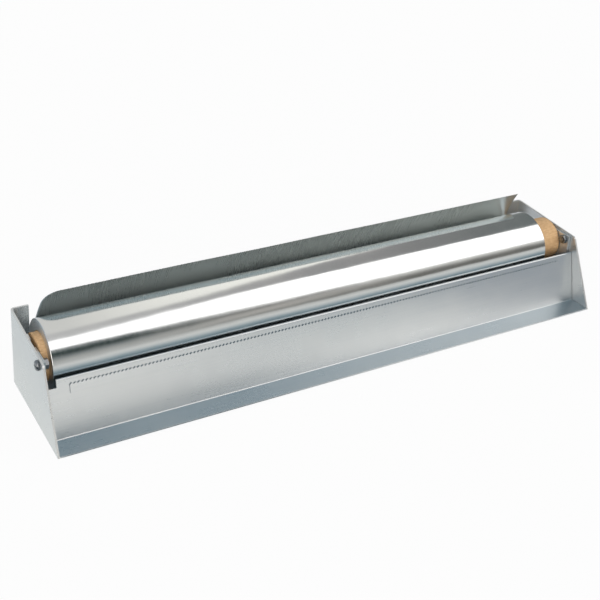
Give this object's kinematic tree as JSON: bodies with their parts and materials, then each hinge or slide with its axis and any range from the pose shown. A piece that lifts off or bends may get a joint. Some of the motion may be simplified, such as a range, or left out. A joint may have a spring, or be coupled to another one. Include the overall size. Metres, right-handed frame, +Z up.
{
  "type": "foil dispenser",
  "caption": "Counter dispenser for kitchen foil: a folded steel tray with a tear strip carries a foil roll that turns on a lift-out axle.",
  "frame": {"origin": "on the counter at the bottom centre of the bounding box", "axes": "+X along the roll to the right seen from the front, +Y to the rear, +Z up; the lip faces -Y"},
  "size_m": [0.4946, 0.104, 0.0871],
  "materials": {
    "steel": "satin rolled sheet",
    "bright_steel": "zinc plated, semi-bright",
    "foil": "bright rolled foil",
    "cardboard": "spiral-wound card",
    "plug": "tan moulded nylon",
    "rubber": "matt"
  },
  "bodies": {
    "frame": {"floor_tray": "steel", "front_panel": "steel", "left_cradle": "steel", "left_cradle_nut": "bright_steel", "left_cradle_screw": "bright_steel", "left_front_foot": "rubber", "left_front_tray_rivet": "bright_steel", "left_rear_foot": "rubber", "left_rear_tray_rivet": "bright_steel", "left_side_plate": "steel", "right_cradle": "steel", "right_cradle_nut": "bright_steel", "right_cradle_screw": "bright_steel", "right_front_foot": "rubber", "right_front_tray_rivet": "bright_steel", "right_rear_foot": "rubber", "right_rear_tray_rivet": "bright_steel", "right_side_plate": "steel", "tear_strip": "steel"},
    "axle": {"axle_rod": "bright_steel", "foil_tail": "foil"},
    "roll": {"foil_core": "cardboard", "foil_winding": "foil", "left_core_plug": "plug", "right_core_plug": "plug"}
  },
  "joints": [
    {"name": "axle_lift", "type": "slide", "parent": "frame", "child": "axle", "axis": [0, 0, 1], "range_m": [0, 0.05]},
    {"name": "roll_spin", "type": "hinge", "parent": "axle", "child": "roll", "pos_m": [0, 0.0085, 0.046], "axis": [1, 0, 0], "continuous": true}
  ]
}
